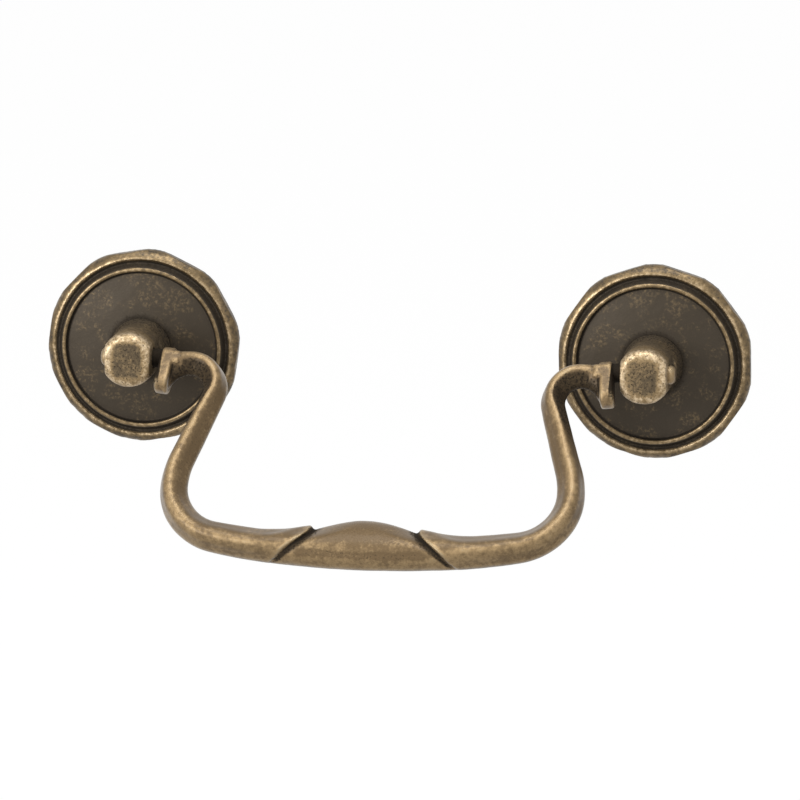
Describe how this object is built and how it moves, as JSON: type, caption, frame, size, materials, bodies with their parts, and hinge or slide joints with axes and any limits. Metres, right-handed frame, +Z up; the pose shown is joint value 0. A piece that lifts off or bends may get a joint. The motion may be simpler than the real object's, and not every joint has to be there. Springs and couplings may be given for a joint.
{
  "type": "bail pull",
  "caption": "Swan-neck bail pull for a drawer: a swelling cast handle that swings on pins in posts standing on round faceted rosettes, in relieved antique brass.",
  "frame": {"origin": "on the drawer front, midway between the screw holes, level with the pins", "axes": "+X from the left post to the right one as seen from the front, +Y into the drawer front, +Z up"},
  "size_m": [0.1049, 0.0321, 0.0407],
  "materials": {
    "bail_brass": "antique brass, dark in the hollows and rubbed bright on the ridges",
    "post_brass": "antique brass, rubbed bright on the edges of the head",
    "rosette_brass": "antique brass, dark field with a rubbed bead and rim"
  },
  "bodies": {
    "mounting": {"left_post": "post_brass", "right_post": "post_brass", "left_rosette": "rosette_brass", "right_rosette": "rosette_brass"},
    "bail": {"bail": "bail_brass"}
  },
  "joints": [
    {"name": "bail_swing", "type": "hinge", "parent": "mounting", "child": "bail", "pos_m": [0, -0.01, 0], "axis": [-1, 0, 0], "range_deg": [-50, 150]}
  ]
}
